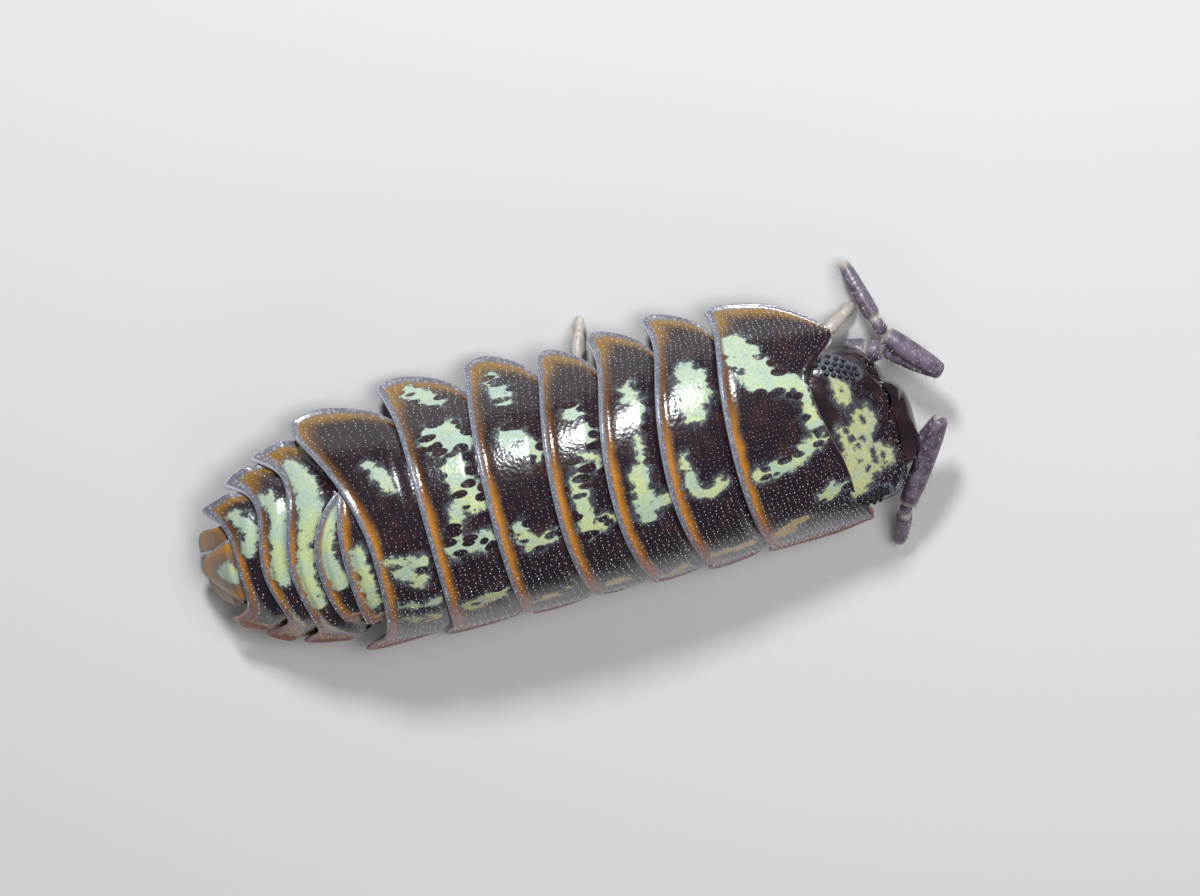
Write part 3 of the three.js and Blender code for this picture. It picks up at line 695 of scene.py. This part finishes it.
def head_angles(x, y):
    """The turn and rise of the point of the head's upper side that lies at x and y."""
    x = x / np.where(x < 0, HEAD_BACK, HEAD_HALF[0])
    y = np.clip(y / HEAD_HALF[1], -0.99, 0.99)
    z = np.clip((1 - np.abs(y) ** 2.5) ** 0.9 - np.abs(x) ** 2.5, 1e-4, 1) ** 0.4
    return np.arctan2(z ** 1.25, power(x, 1.25)), np.arcsin(power(y, 1.25))


def head_point(turn, rise, off):
    """Skin of the head: a rounded block with turn measured round Y and rise towards a side.

    A low swelling carries each eye, a ridge runs from it to the frontal shield, and a groove
    lies behind the shield."""
    cr = power(np.cos(rise), 0.72)
    x, y = head_flat(turn, rise)
    z = power(np.sin(turn), 0.80) * cr
    half_x = np.where(np.cos(turn) < 0, HEAD_BACK, HEAD_HALF[0])
    nx, ny, nz = x / half_x ** 2, y / HEAD_HALF[1] ** 2, z / HEAD_HALF[2]
    length = np.sqrt(nx ** 2 + ny ** 2 + nz ** 2) + 1e-9
    nx, ny, nz = nx / length, ny / length, nz / length
    up = smooth(0.05, 0.4, z)
    q = np.abs(y)
    eye = np.exp(-(((x - EYE[0]) / 0.26) ** 2 + ((q - EYE[1]) / 0.16) ** 2))
    t = np.clip((q - 0.40) / 0.45, 0, 1)
    line = 0.30 - 0.26 * t
    ridge = np.exp(-((x - line) / 0.045) ** 2) * smooth(0.92, 0.80, q)
    groove = np.exp(-((x - 0.27 - 0.10 * (q / 0.4) ** 2) / 0.04) ** 2) * smooth(0.5, 0.3, q)
    ripple = 0.005 * np.sin(q * 17 + x * 9) * np.sin(x * 15)
    off = off + up * (0.035 * eye + 0.030 * ridge - 0.045 * groove + ripple)
    px, py, pz = x + off * nx, y + off * ny, HEAD_HALF[2] * z + off * nz
    c, s = math.cos(HEAD_TILT), math.sin(HEAD_TILT)
    return turned(HEAD_C[0] + px * c + pz * s, py, HEAD_C[1] - px * s + pz * c)


def head_piece():
    """Head capsule: dark, with a spotted light patch behind its brow and a small one by each eye.

    The marks are strokes less round holes, and pale lines run between the simple eyes."""
    rise = np.linspace(-90, 90, 201) * RAD
    turn = np.linspace(0, 360, 320, endpoint=False) * RAD
    rr, tt = np.meshgrid(rise, turn, indexing="ij")
    points = head_point(tt, rr, 0 * tt)
    x, y = head_flat(tt, rr)
    mark = stroke_field(x, y, HEAD_MARKS, 1.0)
    for hole_x, hole_y, hole_r in HEAD_HOLES:
        mark = np.minimum(mark, np.hypot((x - hole_x) * 1.2, y - hole_y) - hole_r)
    mark = np.where(np.sin(tt) > 0.05, mark, -1.0)
    q = np.abs(y) + 0.35 * (x - EYE[0])
    ring = np.hypot((x - EYE[0] - 0.02) / 0.27, (q - EYE[1]) / 0.15)
    # The head takes a fixed 0.40 of the side value, so its pale marks get part of the painted shade's
    # yellow-brown.
    values = {"edge": 0.5 + 0 * tt, "mark": mark, "net": 0 * tt, "lobe": 0 * tt, "side": 0.40 + 0 * tt,
              "amber": 0 * tt, "lattice": 0.8 * smooth(1.08, 0.90, ring) * (np.sin(tt) > 0)}
    faces = grid_faces(201, 320, wrap=True)
    build("head capsule", "head", points, [faces], values, replaces=["head"])


head_piece()


def scutellum_point(a, b, off):
    """Frontal shield: a low dome in front of the crown, narrowing downwards."""
    t = 2 * a - 1
    rise = (t * (29 - 12 * b) + 4) * RAD
    turn = (58 - 66 * b) * RAD
    dome = 0.16 * np.clip(1 - t ** 4, 0, 1) ** 0.7 * np.clip(1 - (2 * b - 0.95) ** 4, 0, 1) ** 0.7
    return head_point(turn, rise, 0.015 + dome + off)


def scutellum_values(a, b):
    """Dark shield without a pale edge."""
    return {"edge": 0.5 + 0 * a, "lobe": 0 * a}


slab("frontal shield", ["scutellum"], "head", 61, 51, scutellum_point, 0.06, 0.06, scutellum_values)


def domes(name, node, slot, centres, normals, radius, rings=6, around=12):
    """Half balls on a surface: each ring of each dome is worked out at once."""
    centres, normals = np.asarray(centres), np.asarray(normals)
    normals = normals / np.linalg.norm(normals, axis=-1, keepdims=True)
    a = np.cross(normals, [0.2, 0.1, 1.0])
    a = a / np.linalg.norm(a, axis=-1, keepdims=True)
    b = np.cross(normals, a)
    lat = np.linspace(-0.35, math.pi / 2 - 0.02, rings)[:, None]
    lon = np.linspace(0, 2 * math.pi, around, endpoint=False)[None, :]
    ca, cb, cn = np.cos(lat) * np.cos(lon), np.cos(lat) * np.sin(lon), np.sin(lat) + 0 * lon
    r = np.broadcast_to(np.asarray(radius, float), (len(centres),))[:, None, None, None]
    grid = (a[:, None, None] * ca[None, ..., None] + b[:, None, None] * cb[None, ..., None]
            + normals[:, None, None] * cn[None, ..., None]) * r + centres[:, None, None]
    faces = grid_faces(rings, around, wrap=True)
    faces = (faces[None] + (np.arange(len(centres)) * rings * around)[:, None, None]).reshape(-1, 4)
    cap = (rings - 1) * around + np.arange(around)
    caps = cap[None] + (np.arange(len(centres)) * rings * around)[:, None]
    return build(name, slot, grid.reshape(-1, 3), [faces[:, ::-1], caps], replaces=node)


def normal_of(f, a, b, h=1e-3):
    """Upright of a surface f(a, b, off): the way its point moves as off grows."""
    n = f(a, b, 0.01 + 0 * a) - f(a, b, 0 * a)
    return n / np.linalg.norm(n, axis=-1, keepdims=True)


# Simple eyes: rows as count and shift along the row, spacing along and between rows, and radius.
EYE_ROWS = [(4, 0.3), (6, 0.0), (7, 0.0), (5, -0.6)]
EYE_STEP = 0.070
EYE_ROW_STEP = 0.066
EYE_SLANT = 0.35
LENS_RADIUS = 0.0345


def eye_piece(sign):
    """Compound eye: simple eyes as shiny domes in staggered rows along the head."""
    rows = []
    for r, (count, shift) in enumerate(EYE_ROWS):
        u = (np.arange(count) - (count - 1) / 2 + shift + 0.5 * (r % 2)) * EYE_STEP
        v = (1.5 - r) * EYE_ROW_STEP + 0 * u
        rows.append(np.stack([EYE[0] + u, EYE[1] + v - EYE_SLANT * u], -1))
    place = np.concatenate(rows)
    turn, rise = head_angles(place[:, 0], place[:, 1])
    rise = rise * sign
    centre = head_point(turn, rise, 0 * turn + 0.003)
    normals = normal_of(head_point, turn, rise)
    side = "left" if sign > 0 else "right"
    domes(f"eye {side} lenses", [f"eye_{side}"], "eye", centre, normals, LENS_RADIUS, 8, 16)


eye_piece(1)
eye_piece(-1)


# Feelers and legs.
def tube(path, radii, along, around, joints=(), flat=1.0):
    """Round limb along a smooth path; returns its points and joint paleness.

    The path is a Catmull curve through the given points, the ring frame is carried along it, and
    the radius dips at each joint and closes round at both ends."""
    path = np.asarray(path, float)
    t = np.linspace(0, len(path) - 1, along)
    i = np.clip(t.astype(int), 0, len(path) - 2)
    f = (t - i)[:, None]
    p0, p1 = path[np.maximum(i - 1, 0)], path[i]
    p2, p3 = path[i + 1], path[np.minimum(i + 2, len(path) - 1)]
    c = 0.5 * (2 * p1 + (p2 - p0) * f + (2 * p0 - 5 * p1 + 4 * p2 - p3) * f ** 2
               + (3 * p1 - p0 - 3 * p2 + p3) * f ** 3)
    way = np.gradient(c, axis=0)
    way = way / np.linalg.norm(way, axis=1, keepdims=True)
    up = np.array([0.1, 0.2, 1.0])
    a = np.cross(way, up)
    a = a / np.linalg.norm(a, axis=1, keepdims=True)
    b = np.cross(way, a)
    r = np.interp(t, np.linspace(0, len(path) - 1, len(radii)), radii)
    run = np.concatenate([[0], np.cumsum(np.linalg.norm(np.diff(c, axis=0), axis=1))])
    pale = np.zeros(along)
    for q in joints:
        at = np.interp(q, t, run)
        near = np.exp(-((run - at) / 0.035) ** 2)
        r = r * (1 - 0.28 * near)
        pale = np.maximum(pale, 0.55 * near)
    end = np.minimum(run, run[-1] - run)
    r = r * np.sqrt(np.clip(1 - (1 - np.clip(end / 0.06, 0.0004, 1)) ** 2, 0, 1))
    turn = np.linspace(0, 2 * math.pi, around, endpoint=False)
    ring = a[:, None] * np.cos(turn)[None, :, None] + b[:, None] * np.sin(turn)[None, :, None] * flat
    return c[:, None] + ring * r[:, None, None], pale[:, None] + 0 * turn[None, :], c, way


def spines(c, normals, length, radius):
    """Small pointed hairs: a four-sided root ring and a tip, all worked out at once."""
    n = normals / np.linalg.norm(normals, axis=1, keepdims=True)
    a = np.cross(n, [0.3, 0.2, 1.0])
    a = a / np.linalg.norm(a, axis=1, keepdims=True)
    b = np.cross(n, a)
    root = np.stack([c + a * radius, c + b * radius, c - a * radius, c - b * radius], 1)
    points = np.concatenate([root, (c + n * length)[:, None]], 1)
    base = np.arange(len(c))[:, None, None] * 5
    faces = np.array([[0, 1, 4], [1, 2, 4], [2, 3, 4], [3, 0, 4]])[None] + base
    return points.reshape(-1, 3), faces.reshape(-1, 3)


def limb_piece(name, node, path, radii, along, around, joints=(), pale_tip=0.0, hairs=0, seed=1,
               flat=1.0, pale_all=0.0, hair_end=0.96):
    """One article or a whole leg, with its small spines, as one mesh."""
    points, pale, c, way = tube(path, radii, along, around, joints, flat)
    run = np.linspace(0, 1, along)[:, None]
    pale = np.maximum(pale, pale_tip * smooth(0.86, 1.0, run))
    pale = pale_all + (1 - pale_all) * pale
    faces = grid_faces(along, around, wrap=True)
    pts = [points.reshape(-1, 3)]
    tris = []
    joint = [pale.ravel()]
    if hairs:
        rng = np.random.default_rng(seed)
        k = rng.integers(int(along * 0.15), int(along * hair_end), hairs)
        i = rng.integers(0, around, hairs)
        root = points[k, i]
        out = root - c[k] + way[k] * 0.05
        p, f = spines(root, out, rng.uniform(0.035, 0.07, (hairs, 1)), 0.006)
        tris = [f + points.shape[0] * points.shape[1]]
        pts.append(p)
        joint.append(np.full(len(p), 0.7))
    build(name, "limb", np.concatenate(pts), [faces[:, ::-1]] + tris,
          {"joint": np.concatenate(joint)}, replaces=node)


FEELERS = {
    "left": [(4.16, 0.60, 0.40), (4.40, 0.58, 0.50), (5.02, 0.20, 0.74), (4.46, 0.82, 0.60),
             (4.39, 1.02, 0.55), (4.18, 1.71, 0.20)],
    "right": [(4.24, -0.80, 0.40), (4.44, -0.78, 0.50), (4.87, -0.32, 0.84), (4.19, -1.44, 0.46),
              (4.14, -1.56, 0.40), (3.97, -2.03, 0.12)],
}
for side_name, p in FEELERS.items():
    p = [np.array(q) for q in p]
    root = p[0] * 2 - p[1] + [-0.02, 0.04 * np.sign(p[0][1]), 0.06]
    limb_piece(f"feeler base {side_name}", [f"antenna_base_{side_name}"],
               [root, p[0], (p[0] + p[1]) / 2, p[1]], [0.13, 0.15, 0.15, 0.13, 0.09], 60, 28,
               joints=(1.4,), pale_tip=0.4, hairs=20, seed=2)
    limb_piece(f"feeler article four {side_name}", [f"antenna_article_4_{side_name}"],
               [p[1], (p[1] + p[2]) / 2 + [0, 0, 0.02], p[2]],
               [0.075, 0.095, 0.105, 0.10, 0.085], 60, 28, pale_tip=0.5, hairs=26, seed=3)
    limb_piece(f"feeler article five {side_name}", [f"antenna_article_5_{side_name}"],
               [p[2], (p[2] + p[3]) / 2 + [0, 0, 0.02], p[3]],
               [0.09, 0.12, 0.13, 0.125, 0.105], 70, 28, pale_tip=0.6, hairs=34, seed=4)
    mid = p[4]
    limb_piece(f"flagellum {side_name}", [f"flagellum_{side_name}"],
               [p[3], mid, mid * 0.55 + p[5] * 0.45, p[5]],
               [0.07, 0.08, 0.075, 0.10, 0.10, 0.095, 0.085, 0.055], 80, 24, joints=(1.0,),
               pale_tip=0.8, hairs=36, seed=5)

HIPS = [2.97, 1.93, 1.16, 0.47, -0.26, -1.05, -1.81]
FEET = {
    "left": [(4.20, 1.10), (2.25, 1.26), (1.34, 1.28), (0.94, 1.80), (-0.48, 1.28), (-1.35, 1.26),
             (-2.25, 1.18)],
    "right": [(3.35, -1.16), (2.00, -1.27), (1.50, -1.26), (0.35, -1.28), (-0.20, -1.28),
              (-1.42, -1.26), (-2.05, -1.20)],
}
HIP_Y = 0.60
FOOT_HEIGHT = 0.012
# A leg's path: share of the way from hip to foot, and height.
LEG_PATH = [(0, 0.52), (0.22, 0.50), (0.45, 0.44), (0.66, 0.31), (0.84, 0.16), (0.96, 0.070),
            (1.0, FOOT_HEIGHT)]
LEG_RADII = [0.10, 0.105, 0.10, 0.095, 0.09, 0.085, 0.075, 0.06, 0.035]


def leg(side_name, number, hip, foot):
    """One walking leg: a tube from hip to foot that bends down to the floor at its end."""
    hip_y = HIP_Y if side_name == "left" else -HIP_Y
    path = [(hip + (foot[0] - hip) * t, hip_y + (foot[1] - hip_y) * t, z) for t, z in LEG_PATH]
    limb_piece(f"leg {side_name} {number}", [f"leg_{side_name}_{number}"], path, LEG_RADII, 90, 20,
               joints=(1.1, 2.1, 3.05, 4.1, 5.1), pale_tip=0.9, hairs=40, seed=20 + number,
               pale_all=0.55, hair_end=0.72)


for side_name, feet in FEET.items():
    for number, (hip, foot) in enumerate(zip(HIPS, feet), 1):
        leg(side_name, number, hip, foot)


# Underside.
BELLY_HEIGHT = 0.49
BELLY_RIDGE = 0.05
BELLY_RIDGE_STEP = 0.78
BELLY_ENDS = (0.62, 8.28)
BELLY_TOP_GAP = 0.30
MOUTH_Y = -0.18
PALP_Y = 0.115
GILL_COUNT = 5
GILL_STEP = 0.22


def trunk_piece():
    """Soft body inside the shell: a pale belly crossed by a low ridge under each segment."""
    s = np.linspace(*BELLY_ENDS, 180)
    turn = np.linspace(0, 2 * math.pi, 72, endpoint=False)
    ss, tt = np.meshgrid(s, turn, indexing="ij")
    x, z, nx, _ = back(ss)
    size = table(WIDE, ss)
    end = np.clip(np.sin(np.pi * (ss - 0.60) / 7.70), 0, 1) ** 0.25
    half = 0.98 * size * end
    top = z - BELLY_TOP_GAP
    share = (ss - START["pereonite_7"]) / BELLY_RIDGE_STEP
    crease = np.exp(-((share - np.round(share)) / 0.09) ** 2)
    bottom = BELLY_HEIGHT + BELLY_RIDGE * crease * (1 - np.sin(tt)) / 2
    mid = 0.5 * (top + bottom)
    c, d = power(np.cos(tt), 0.7), power(np.sin(tt), 0.7)
    zz = np.where(d > 0, mid + (top - mid) * d * end, mid + (mid - bottom) * d * end)
    points = turned(x - 0.75 * nx, half * c, zz)
    faces = grid_faces(180, 72, wrap=True)
    caps = [np.arange(72)[None, ::-1], (179 * 72 + np.arange(72))[None]]
    build("belly", "underside", points, [faces] + caps, replaces=["trunk"])


trunk_piece()

def gill_plates(sign, side_name):
    """Five thin overlapping plates with rounded edges, each a little narrower than the last."""
    lead = float(back(2.45)[0]) - 0.1
    parts, tris = [], []
    for k in range(GILL_COUNT):
        a = np.linspace(0, 1, 25)
        b = np.linspace(0, 1, 21)
        aa, bb = np.meshgrid(a, np.concatenate([b, b[::-1][1:]]), indexing="ij")
        under = np.arange(41)[None, :] >= 21
        edge = np.minimum(np.minimum(aa, 1 - aa), np.minimum(bb, 1 - bb))
        r = np.sqrt(np.clip(1 - (1 - np.clip(edge / 0.12, 0, 1)) ** 2, 0, 1))
        width = 0.60 - 0.06 * k
        x = lead - GILL_STEP * k - 0.34 * aa * (1 - 0.25 * bb ** 2)
        y = sign * (0.03 + width * bb)
        z = 0.44 - 0.07 * aa - 0.02 * bb + np.where(under, -0.03, 0.03) * r
        grid = np.stack([x, y, z], -1)
        f = grid_faces(25, 41)
        parts.append(grid.reshape(-1, 3))
        tris.append((f[:, ::-1] if sign < 0 else f) + k * 25 * 41)
    build(f"gill plates {side_name}", "gill", np.concatenate(parts), tris,
          replaces=[f"pleopods_{side_name}"])


gill_plates(1, "left")
gill_plates(-1, "right")


def mouthparts():
    """Mouthparts: a low upper lip in front of two broad flat jaw feet that taper downwards."""
    x, z = HEAD_C
    middle = MOUTH_Y
    parts, faces = [], []
    for y in (middle - PALP_Y, middle + PALP_Y):
        grid, _, _, _ = tube([(x + 0.16, y, z - 0.28), (x + 0.10, y, z - 0.44),
                              (x + 0.02, y + (middle - y) * 0.35, z - 0.62)],
                             [0.14, 0.145, 0.13, 0.06], 44, 30, joints=(0.85, 1.45))
        faces.append(grid_faces(44, 30, wrap=True)[:, ::-1] + len(parts) * 44 * 30)
        parts.append(grid.reshape(-1, 3))
    lip, _, _, _ = tube([(x + 0.27, middle - 0.20, z - 0.34), (x + 0.29, middle, z - 0.37),
                         (x + 0.27, middle + 0.20, z - 0.34)], [0.07, 0.09, 0.07], 44, 30)
    faces.append(grid_faces(44, 30, wrap=True)[:, ::-1] + len(parts) * 44 * 30)
    parts.append(lip.reshape(-1, 3))
    build("mouthparts", "mouth", np.concatenate(parts), faces, replaces=["mouthparts"])


mouthparts()


# Fine white scales in rows over the plates and the head.
SCALE_RADIUS = 0.0072
SCALE_HEIGHT = 0.013
SCALE_ROW_STEP = 0.062
SCALE_STEP = 0.060
HEAD_SCALES = 620


def scales():
    """Three-cornered scales: low pyramids in rows over every plate, rooted on the outer face."""
    rng = np.random.default_rng(11)
    roots, normals, uvs, sizes = [], [], [], []
    for name in PLATES:
        reach = PLATES[name][1]
        length = START[ahead(name)] - START[name]
        rows = max(3, int(length / SCALE_ROW_STEP))
        across = int(2 * reach * ARCH_LENGTH * float(table(WIDE, START[name])) / SCALE_STEP)
        t, j = np.meshgrid(np.linspace(-0.985, 0.985, across), np.linspace(0.03, 0.93, rows),
                           indexing="ij")
        t = t + rng.uniform(-0.28, 0.28, t.shape) * 2 / across
        j = j + rng.uniform(-0.25, 0.25, j.shape) / rows
        t, j = t.ravel(), np.clip(j.ravel(), 0.02, 0.96)
        s, w, m, outer, free, behind, _ = plate_point(name, t, j)
        keep = (behind > 0.02) & (free > 0.02)
        s, w, m, outer = s[keep], w[keep], m[keep], outer[keep]
        p = shell(s, w, outer - 0.002, m)
        q = shell(s, w, outer + 0.05, m)
        roots.append(p)
        normals.append(q - p)
        uvs.append(np.stack([0.5 + 0.42 * w / 1.2, 0.04 + 0.90 * s / 9.6], -1))
        sizes.append(rng.uniform(0.75, 1.25, len(p)) * (1 + 0.25 * smooth(0.75, 1.0, np.abs(w))))
    x = rng.uniform(-0.42, 0.35, HEAD_SCALES)
    y = rng.uniform(-0.92, 0.92, HEAD_SCALES)
    clear = np.hypot((x - EYE[0]) / 0.27, (np.abs(y) - EYE[1]) / 0.16) > 1
    turn, rise = head_angles(x[clear], y[clear])
    p = head_point(turn, rise, 0 * turn - 0.002)
    roots.append(p)
    normals.append(normal_of(head_point, turn, rise))
    uvs.append(np.stack([0.5 + 0.3 * rise, 0.93 + 0.02 * (turn - 1.7)], -1))
    sizes.append(rng.uniform(0.7, 1.1, len(p)))
    p, n = np.concatenate(roots), np.concatenate(normals)
    uv, size = np.concatenate(uvs), np.concatenate(sizes)[:, None]
    n = n / np.linalg.norm(n, axis=1, keepdims=True)
    way = np.array([1.0, 0.0, 0.0]) - n * n[:, :1]
    way = way / np.linalg.norm(way, axis=1, keepdims=True)
    other = np.cross(n, way)
    spin = rng.uniform(-0.4, 0.4, (len(p), 1))
    a = way * np.cos(spin) + other * np.sin(spin)
    b = np.cross(n, a)
    r = SCALE_RADIUS * size
    root = np.stack([p + a * r, p + (-0.5 * a + 0.87 * b) * r, p + (-0.5 * a - 0.87 * b) * r], 1)
    tip = (p - a * r * 0.7 + n * SCALE_HEIGHT * size)[:, None]
    points = np.concatenate([root, tip], 1).reshape(-1, 3)
    faces = np.array([[0, 1, 3], [1, 2, 3], [2, 0, 3]])[None] + 4 * np.arange(len(p))[:, None, None]
    local = np.array([[0.0015, 0], [-0.0008, 0.0013], [-0.0008, -0.0013], [0, 0]])
    uv = (uv[:, None] + local[None]).reshape(-1, 2)
    build("white scales", "speck", points, [faces.reshape(-1, 3)], uv=uv, smooth_shade=False)


scales()

# Floor, light and camera.
ground_mesh = bpy.data.meshes.new("floor")
FLOOR_HALF = 0.4
floor_corners = [(-FLOOR_HALF, -FLOOR_HALF, 0), (FLOOR_HALF, -FLOOR_HALF, 0),
                 (FLOOR_HALF, FLOOR_HALF, 0), (-FLOOR_HALF, FLOOR_HALF, 0)]
ground_mesh.from_pydata(floor_corners, [], [(0, 1, 2, 3)])
ground = bpy.data.objects.new("floor", ground_mesh)
bpy.context.scene.collection.objects.link(ground)
floor_mat = bpy.data.materials.new("pale floor")
floor_mat.use_nodes = True
floor_finish = floor_mat.node_tree.nodes["Principled BSDF"]
floor_finish.inputs["Base Color"].default_value = (0.50, 0.49, 0.48, 1)
floor_finish.inputs["Roughness"].default_value = 0.8
ground_mesh.materials.append(floor_mat)

world = bpy.data.worlds.new("studio")
bpy.context.scene.world = world
world.use_nodes = True
SKY_COLOUR = (0.80, 0.86, 1.0, 1)
SKY_STRENGTH = 0.17
world.node_tree.nodes["Background"].inputs["Color"].default_value = SKY_COLOUR
world.node_tree.nodes["Background"].inputs["Strength"].default_value = SKY_STRENGTH


def lamp(name, place, aim, size, watts, colour, shiny=True):
    """Round soft light at place, turned to face aim; both in millimetres."""
    light = bpy.data.lights.new(name, "AREA")
    light.shape = "DISK"
    light.size = size * MM
    light.energy = watts
    light.color = colour
    obj = bpy.data.objects.new(name, light)
    bpy.context.scene.collection.objects.link(obj)
    a = np.array(place, float)
    away = Vector(a - np.array(aim, float))
    obj.rotation_euler = away.to_track_quat("Z", "Y").to_euler()
    obj.location = a * MM
    obj.visible_glossy = shiny
    return obj


lamp("key", (4, 44, 36), (0, 0, 1), 9, 0.036, (0.93, 0.97, 1.0))
lamp("top fill", (20, 10, 44), (0, 0, 1), 34, 0.020, (0.97, 0.98, 1.0), shiny=False)
lamp("warm fill", (0, -40, 14), (0, 0, 1), 30, 0.004, (1.0, 0.85, 0.70), shiny=False)

VIEW_ROLL = 20 * RAD
VIEW_LEAN = 3 * RAD
# Millimetres per pixel of the photograph, how far it is turned to lay the body level, and where
# the middle of the back at the rear border of the fourth plate then lies, in pixels.
PX = 0.012
PHOTO_TURN = 14.4 * RAD
PHOTO_WIDE = 1200
PHOTO_HIGH = 896
ANCHOR_ALONG = 411
ANCHOR_DOWN = 643.5
SENSOR_WIDE = 36
LENS = 300
view = np.array([math.sin(VIEW_LEAN), math.sin(VIEW_ROLL) * math.cos(VIEW_LEAN),
                 math.cos(VIEW_ROLL) * math.cos(VIEW_LEAN)])
e1 = np.array([1.0, 0, 0]) - view * view[0]
e1 = e1 / np.linalg.norm(e1)
e2 = np.cross(view, e1)
anchor = shell(np.array(START["pereonite_4"]), np.array(0.0), 0.0) + CENTRE
tilt_c = math.cos(PHOTO_TURN)
tilt_s = math.sin(PHOTO_TURN)
mid_s = PHOTO_WIDE / 2 * tilt_c - PHOTO_HIGH / 2 * tilt_s
mid_t = PHOTO_WIDE / 2 * tilt_s + PHOTO_HIGH / 2 * tilt_c
aim = anchor + (mid_s - ANCHOR_ALONG) * PX * e1 - (mid_t - ANCHOR_DOWN) * PX * e2
right = tilt_c * e1 - tilt_s * e2
up = tilt_s * e1 + tilt_c * e2
camera_data = bpy.data.cameras.new("camera")
camera_data.sensor_width = SENSOR_WIDE
camera_data.lens = LENS
camera_data.clip_start = 0.005
camera_data.clip_end = 10
camera = bpy.data.objects.new("camera", camera_data)
bpy.context.scene.collection.objects.link(camera)
distance = PHOTO_WIDE * PX * LENS / SENSOR_WIDE
place = (aim + view * distance) * MM
rows = [[right[i], up[i], view[i], place[i]] for i in range(3)] + [[0, 0, 0, 1]]
camera.matrix_world = Matrix(rows)
scene = bpy.context.scene
scene.camera = camera
scene.view_settings.view_transform = "Standard"
scene.view_settings.exposure = 0.0
